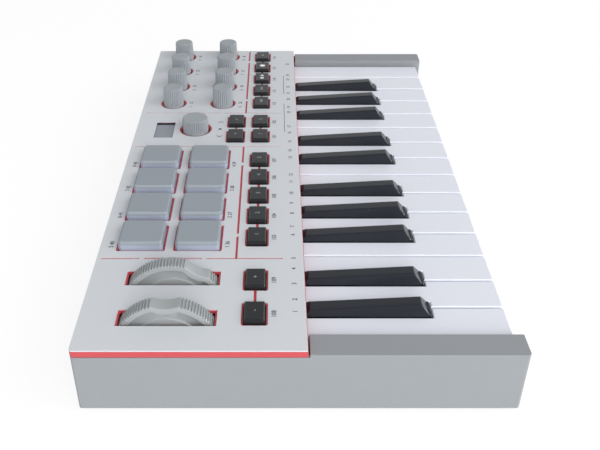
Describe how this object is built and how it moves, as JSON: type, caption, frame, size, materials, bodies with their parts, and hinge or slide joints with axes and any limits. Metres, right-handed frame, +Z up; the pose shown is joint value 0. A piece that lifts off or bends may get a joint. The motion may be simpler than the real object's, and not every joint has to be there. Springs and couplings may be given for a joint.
{
  "type": "midi keyboard",
  "caption": "Compact table-top MIDI keyboard controller with mini keys, drum pads, rotary knobs, push buttons, a small display and pitch and modulation wheels.",
  "frame": {"origin": "centre of the footprint, on the surface the feet stand on", "axes": "+X along the keys from the lowest note to the highest, +Y from the player to the back, +Z up"},
  "size_m": [0.318, 0.188, 0.0468],
  "materials": {
    "white_key": "smooth moulded, semi-gloss",
    "black_key": "semi-gloss with a fine grain",
    "button_cap": "fine matt grain",
    "knob": "fluted, satin",
    "wheel": "satin with grooves",
    "case": "fine grain",
    "frame_red": "satin red",
    "panel": "fine grain light grey",
    "display": "tinted, satin",
    "pad": "matt silicone",
    "keybed": "moulded black",
    "board": "solder-masked laminate",
    "foot": "matt"
  },
  "bodies": {
    "chassis": {"bottom_case": "case", "deck_frame": "frame_red", "top_panel": "panel", "display_window": "display", "pad_mat": "pad", "keybed": "keybed", "main_board": "board", "rubber_feet": "foot"},
    "key_c1": {"key_c1": "white_key"},
    "key_d1": {"key_d1": "white_key"},
    "key_e1": {"key_e1": "white_key"},
    "key_f1": {"key_f1": "white_key"},
    "key_g1": {"key_g1": "white_key"},
    "key_a1": {"key_a1": "white_key"},
    "key_b1": {"key_b1": "white_key"},
    "key_c2": {"key_c2": "white_key"},
    "key_d2": {"key_d2": "white_key"},
    "key_e2": {"key_e2": "white_key"},
    "key_f2": {"key_f2": "white_key"},
    "key_g2": {"key_g2": "white_key"},
    "key_a2": {"key_a2": "white_key"},
    "key_b2": {"key_b2": "white_key"},
    "key_c3": {"key_c3": "white_key"},
    "key_c_sharp1": {"key_c_sharp1": "black_key"},
    "key_d_sharp1": {"key_d_sharp1": "black_key"},
    "key_f_sharp1": {"key_f_sharp1": "black_key"},
    "key_g_sharp1": {"key_g_sharp1": "black_key"},
    "key_a_sharp1": {"key_a_sharp1": "black_key"},
    "key_c_sharp2": {"key_c_sharp2": "black_key"},
    "key_d_sharp2": {"key_d_sharp2": "black_key"},
    "key_f_sharp2": {"key_f_sharp2": "black_key"},
    "key_g_sharp2": {"key_g_sharp2": "black_key"},
    "key_a_sharp2": {"key_a_sharp2": "black_key"},
    "octave_button_1": {"octave_button_1": "button_cap"},
    "octave_button_2": {"octave_button_2": "button_cap"},
    "mode_button_1": {"mode_button_1": "button_cap"},
    "mode_button_2": {"mode_button_2": "button_cap"},
    "mode_button_3": {"mode_button_3": "button_cap"},
    "mode_button_4": {"mode_button_4": "button_cap"},
    "mode_button_5": {"mode_button_5": "button_cap"},
    "bank_button_1": {"bank_button_1": "button_cap"},
    "bank_button_2": {"bank_button_2": "button_cap"},
    "select_button_1": {"select_button_1": "button_cap"},
    "select_button_2": {"select_button_2": "button_cap"},
    "transport_button_1": {"transport_button_1": "button_cap"},
    "transport_button_2": {"transport_button_2": "button_cap"},
    "transport_button_3": {"transport_button_3": "button_cap"},
    "transport_button_4": {"transport_button_4": "button_cap"},
    "transport_button_5": {"transport_button_5": "button_cap"},
    "knob_1": {"knob_1": "knob"},
    "knob_2": {"knob_2": "knob"},
    "knob_3": {"knob_3": "knob"},
    "knob_4": {"knob_4": "knob"},
    "knob_5": {"knob_5": "knob"},
    "knob_6": {"knob_6": "knob"},
    "knob_7": {"knob_7": "knob"},
    "knob_8": {"knob_8": "knob"},
    "encoder_knob": {"encoder_knob": "knob"},
    "pitch_wheel": {"pitch_wheel": "wheel"},
    "modulation_wheel": {"modulation_wheel": "wheel"}
  },
  "joints": [
    {"name": "key_c1_press", "type": "hinge", "parent": "chassis", "child": "key_c1", "pos_m": [-0.1344, 0.026, 0.02], "axis": [1, 0, 0], "range_deg": [0, 2.4], "stiffness_Nm_per_rad": 0.2, "springref_deg": -17.19},
    {"name": "key_d1_press", "type": "hinge", "parent": "chassis", "child": "key_d1", "pos_m": [-0.1152, 0.026, 0.02], "axis": [1, 0, 0], "range_deg": [0, 2.4], "stiffness_Nm_per_rad": 0.2, "springref_deg": -17.19},
    {"name": "key_e1_press", "type": "hinge", "parent": "chassis", "child": "key_e1", "pos_m": [-0.096, 0.026, 0.02], "axis": [1, 0, 0], "range_deg": [0, 2.4], "stiffness_Nm_per_rad": 0.2, "springref_deg": -17.19},
    {"name": "key_f1_press", "type": "hinge", "parent": "chassis", "child": "key_f1", "pos_m": [-0.0768, 0.026, 0.02], "axis": [1, 0, 0], "range_deg": [0, 2.4], "stiffness_Nm_per_rad": 0.2, "springref_deg": -17.19},
    {"name": "key_g1_press", "type": "hinge", "parent": "chassis", "child": "key_g1", "pos_m": [-0.0576, 0.026, 0.02], "axis": [1, 0, 0], "range_deg": [0, 2.4], "stiffness_Nm_per_rad": 0.2, "springref_deg": -17.19},
    {"name": "key_a1_press", "type": "hinge", "parent": "chassis", "child": "key_a1", "pos_m": [-0.0384, 0.026, 0.02], "axis": [1, 0, 0], "range_deg": [0, 2.4], "stiffness_Nm_per_rad": 0.2, "springref_deg": -17.19},
    {"name": "key_b1_press", "type": "hinge", "parent": "chassis", "child": "key_b1", "pos_m": [-0.0192, 0.026, 0.02], "axis": [1, 0, 0], "range_deg": [0, 2.4], "stiffness_Nm_per_rad": 0.2, "springref_deg": -17.19},
    {"name": "key_c2_press", "type": "hinge", "parent": "chassis", "child": "key_c2", "pos_m": [0, 0.026, 0.02], "axis": [1, 0, 0], "range_deg": [0, 2.4], "stiffness_Nm_per_rad": 0.2, "springref_deg": -17.19},
    {"name": "key_d2_press", "type": "hinge", "parent": "chassis", "child": "key_d2", "pos_m": [0.0192, 0.026, 0.02], "axis": [1, 0, 0], "range_deg": [0, 2.4], "stiffness_Nm_per_rad": 0.2, "springref_deg": -17.19},
    {"name": "key_e2_press", "type": "hinge", "parent": "chassis", "child": "key_e2", "pos_m": [0.0384, 0.026, 0.02], "axis": [1, 0, 0], "range_deg": [0, 2.4], "stiffness_Nm_per_rad": 0.2, "springref_deg": -17.19},
    {"name": "key_f2_press", "type": "hinge", "parent": "chassis", "child": "key_f2", "pos_m": [0.0576, 0.026, 0.02], "axis": [1, 0, 0], "range_deg": [0, 2.4], "stiffness_Nm_per_rad": 0.2, "springref_deg": -17.19},
    {"name": "key_g2_press", "type": "hinge", "parent": "chassis", "child": "key_g2", "pos_m": [0.0768, 0.026, 0.02], "axis": [1, 0, 0], "range_deg": [0, 2.4], "stiffness_Nm_per_rad": 0.2, "springref_deg": -17.19},
    {"name": "key_a2_press", "type": "hinge", "parent": "chassis", "child": "key_a2", "pos_m": [0.096, 0.026, 0.02], "axis": [1, 0, 0], "range_deg": [0, 2.4], "stiffness_Nm_per_rad": 0.2, "springref_deg": -17.19},
    {"name": "key_b2_press", "type": "hinge", "parent": "chassis", "child": "key_b2", "pos_m": [0.1152, 0.026, 0.02], "axis": [1, 0, 0], "range_deg": [0, 2.4], "stiffness_Nm_per_rad": 0.2, "springref_deg": -17.19},
    {"name": "key_c3_press", "type": "hinge", "parent": "chassis", "child": "key_c3", "pos_m": [0.1344, 0.026, 0.02], "axis": [1, 0, 0], "range_deg": [0, 2.4], "stiffness_Nm_per_rad": 0.2, "springref_deg": -17.19},
    {"name": "key_c_sharp1_press", "type": "hinge", "parent": "chassis", "child": "key_c_sharp1", "pos_m": [-0.1263, 0.026, 0.02], "axis": [1, 0, 0], "range_deg": [0, 2.7], "stiffness_Nm_per_rad": 0.2, "springref_deg": -17.19},
    {"name": "key_d_sharp1_press", "type": "hinge", "parent": "chassis", "child": "key_d_sharp1", "pos_m": [-0.1041, 0.026, 0.02], "axis": [1, 0, 0], "range_deg": [0, 2.7], "stiffness_Nm_per_rad": 0.2, "springref_deg": -17.19},
    {"name": "key_f_sharp1_press", "type": "hinge", "parent": "chassis", "child": "key_f_sharp1", "pos_m": [-0.06955, 0.026, 0.02], "axis": [1, 0, 0], "range_deg": [0, 2.7], "stiffness_Nm_per_rad": 0.2, "springref_deg": -17.19},
    {"name": "key_g_sharp1_press", "type": "hinge", "parent": "chassis", "child": "key_g_sharp1", "pos_m": [-0.048, 0.026, 0.02], "axis": [1, 0, 0], "range_deg": [0, 2.7], "stiffness_Nm_per_rad": 0.2, "springref_deg": -17.19},
    {"name": "key_a_sharp1_press", "type": "hinge", "parent": "chassis", "child": "key_a_sharp1", "pos_m": [-0.02645, 0.026, 0.02], "axis": [1, 0, 0], "range_deg": [0, 2.7], "stiffness_Nm_per_rad": 0.2, "springref_deg": -17.19},
    {"name": "key_c_sharp2_press", "type": "hinge", "parent": "chassis", "child": "key_c_sharp2", "pos_m": [0.0081, 0.026, 0.02], "axis": [1, 0, 0], "range_deg": [0, 2.7], "stiffness_Nm_per_rad": 0.2, "springref_deg": -17.19},
    {"name": "key_d_sharp2_press", "type": "hinge", "parent": "chassis", "child": "key_d_sharp2", "pos_m": [0.0303, 0.026, 0.02], "axis": [1, 0, 0], "range_deg": [0, 2.7], "stiffness_Nm_per_rad": 0.2, "springref_deg": -17.19},
    {"name": "key_f_sharp2_press", "type": "hinge", "parent": "chassis", "child": "key_f_sharp2", "pos_m": [0.06485, 0.026, 0.02], "axis": [1, 0, 0], "range_deg": [0, 2.7], "stiffness_Nm_per_rad": 0.2, "springref_deg": -17.19},
    {"name": "key_g_sharp2_press", "type": "hinge", "parent": "chassis", "child": "key_g_sharp2", "pos_m": [0.0864, 0.026, 0.02], "axis": [1, 0, 0], "range_deg": [0, 2.7], "stiffness_Nm_per_rad": 0.2, "springref_deg": -17.19},
    {"name": "key_a_sharp2_press", "type": "hinge", "parent": "chassis", "child": "key_a_sharp2", "pos_m": [0.10795, 0.026, 0.02], "axis": [1, 0, 0], "range_deg": [0, 2.7], "stiffness_Nm_per_rad": 0.2, "springref_deg": -17.19},
    {"name": "octave_button_1_press", "type": "slide", "parent": "chassis", "child": "octave_button_1", "axis": [0, 0, -1], "range_m": [0, 0.0006], "stiffness_N_per_m": 1500, "springref_m": -0.0005},
    {"name": "octave_button_2_press", "type": "slide", "parent": "chassis", "child": "octave_button_2", "axis": [0, 0, -1], "range_m": [0, 0.0006], "stiffness_N_per_m": 1500, "springref_m": -0.0005},
    {"name": "mode_button_1_press", "type": "slide", "parent": "chassis", "child": "mode_button_1", "axis": [0, 0, -1], "range_m": [0, 0.0006], "stiffness_N_per_m": 1500, "springref_m": -0.0005},
    {"name": "mode_button_2_press", "type": "slide", "parent": "chassis", "child": "mode_button_2", "axis": [0, 0, -1], "range_m": [0, 0.0006], "stiffness_N_per_m": 1500, "springref_m": -0.0005},
    {"name": "mode_button_3_press", "type": "slide", "parent": "chassis", "child": "mode_button_3", "axis": [0, 0, -1], "range_m": [0, 0.0006], "stiffness_N_per_m": 1500, "springref_m": -0.0005},
    {"name": "mode_button_4_press", "type": "slide", "parent": "chassis", "child": "mode_button_4", "axis": [0, 0, -1], "range_m": [0, 0.0006], "stiffness_N_per_m": 1500, "springref_m": -0.0005},
    {"name": "mode_button_5_press", "type": "slide", "parent": "chassis", "child": "mode_button_5", "axis": [0, 0, -1], "range_m": [0, 0.0006], "stiffness_N_per_m": 1500, "springref_m": -0.0005},
    {"name": "bank_button_1_press", "type": "slide", "parent": "chassis", "child": "bank_button_1", "axis": [0, 0, -1], "range_m": [0, 0.0006], "stiffness_N_per_m": 1500, "springref_m": -0.0005},
    {"name": "bank_button_2_press", "type": "slide", "parent": "chassis", "child": "bank_button_2", "axis": [0, 0, -1], "range_m": [0, 0.0006], "stiffness_N_per_m": 1500, "springref_m": -0.0005},
    {"name": "select_button_1_press", "type": "slide", "parent": "chassis", "child": "select_button_1", "axis": [0, 0, -1], "range_m": [0, 0.0006], "stiffness_N_per_m": 1500, "springref_m": -0.0005},
    {"name": "select_button_2_press", "type": "slide", "parent": "chassis", "child": "select_button_2", "axis": [0, 0, -1], "range_m": [0, 0.0006], "stiffness_N_per_m": 1500, "springref_m": -0.0005},
    {"name": "transport_button_1_press", "type": "slide", "parent": "chassis", "child": "transport_button_1", "axis": [0, 0, -1], "range_m": [0, 0.0006], "stiffness_N_per_m": 1500, "springref_m": -0.0005},
    {"name": "transport_button_2_press", "type": "slide", "parent": "chassis", "child": "transport_button_2", "axis": [0, 0, -1], "range_m": [0, 0.0006], "stiffness_N_per_m": 1500, "springref_m": -0.0005},
    {"name": "transport_button_3_press", "type": "slide", "parent": "chassis", "child": "transport_button_3", "axis": [0, 0, -1], "range_m": [0, 0.0006], "stiffness_N_per_m": 1500, "springref_m": -0.0005},
    {"name": "transport_button_4_press", "type": "slide", "parent": "chassis", "child": "transport_button_4", "axis": [0, 0, -1], "range_m": [0, 0.0006], "stiffness_N_per_m": 1500, "springref_m": -0.0005},
    {"name": "transport_button_5_press", "type": "slide", "parent": "chassis", "child": "transport_button_5", "axis": [0, 0, -1], "range_m": [0, 0.0006], "stiffness_N_per_m": 1500, "springref_m": -0.0005},
    {"name": "knob_1_turn", "type": "hinge", "parent": "chassis", "child": "knob_1", "pos_m": [0.0706, 0.07509, 0.0353], "axis": [0, 0, 1], "continuous": true},
    {"name": "knob_2_turn", "type": "hinge", "parent": "chassis", "child": "knob_2", "pos_m": [0.0961, 0.07509, 0.0353], "axis": [0, 0, 1], "continuous": true},
    {"name": "knob_3_turn", "type": "hinge", "parent": "chassis", "child": "knob_3", "pos_m": [0.12159, 0.07509, 0.0353], "axis": [0, 0, 1], "continuous": true},
    {"name": "knob_4_turn", "type": "hinge", "parent": "chassis", "child": "knob_4", "pos_m": [0.14709, 0.07509, 0.0353], "axis": [0, 0, 1], "continuous": true},
    {"name": "knob_5_turn", "type": "hinge", "parent": "chassis", "child": "knob_5", "pos_m": [0.0706, 0.0437, 0.0353], "axis": [0, 0, 1], "continuous": true},
    {"name": "knob_6_turn", "type": "hinge", "parent": "chassis", "child": "knob_6", "pos_m": [0.0961, 0.0437, 0.0353], "axis": [0, 0, 1], "continuous": true},
    {"name": "knob_7_turn", "type": "hinge", "parent": "chassis", "child": "knob_7", "pos_m": [0.12159, 0.0437, 0.0353], "axis": [0, 0, 1], "continuous": true},
    {"name": "knob_8_turn", "type": "hinge", "parent": "chassis", "child": "knob_8", "pos_m": [0.14709, 0.0437, 0.0353], "axis": [0, 0, 1], "continuous": true},
    {"name": "encoder_knob_turn", "type": "hinge", "parent": "chassis", "child": "encoder_knob", "pos_m": [0.035, 0.0582, 0.0353], "axis": [0, 0, 1], "continuous": true},
    {"name": "pitch_wheel_turn", "type": "hinge", "parent": "chassis", "child": "pitch_wheel", "pos_m": [-0.13855, 0.0564, 0.0216], "axis": [-1, 0, 0], "range_deg": [-30, 30], "stiffness_Nm_per_rad": 0.06},
    {"name": "modulation_wheel_turn", "type": "hinge", "parent": "chassis", "child": "modulation_wheel", "pos_m": [-0.11115, 0.0564, 0.0216], "axis": [-1, 0, 0], "range_deg": [0, 61]}
  ]
}
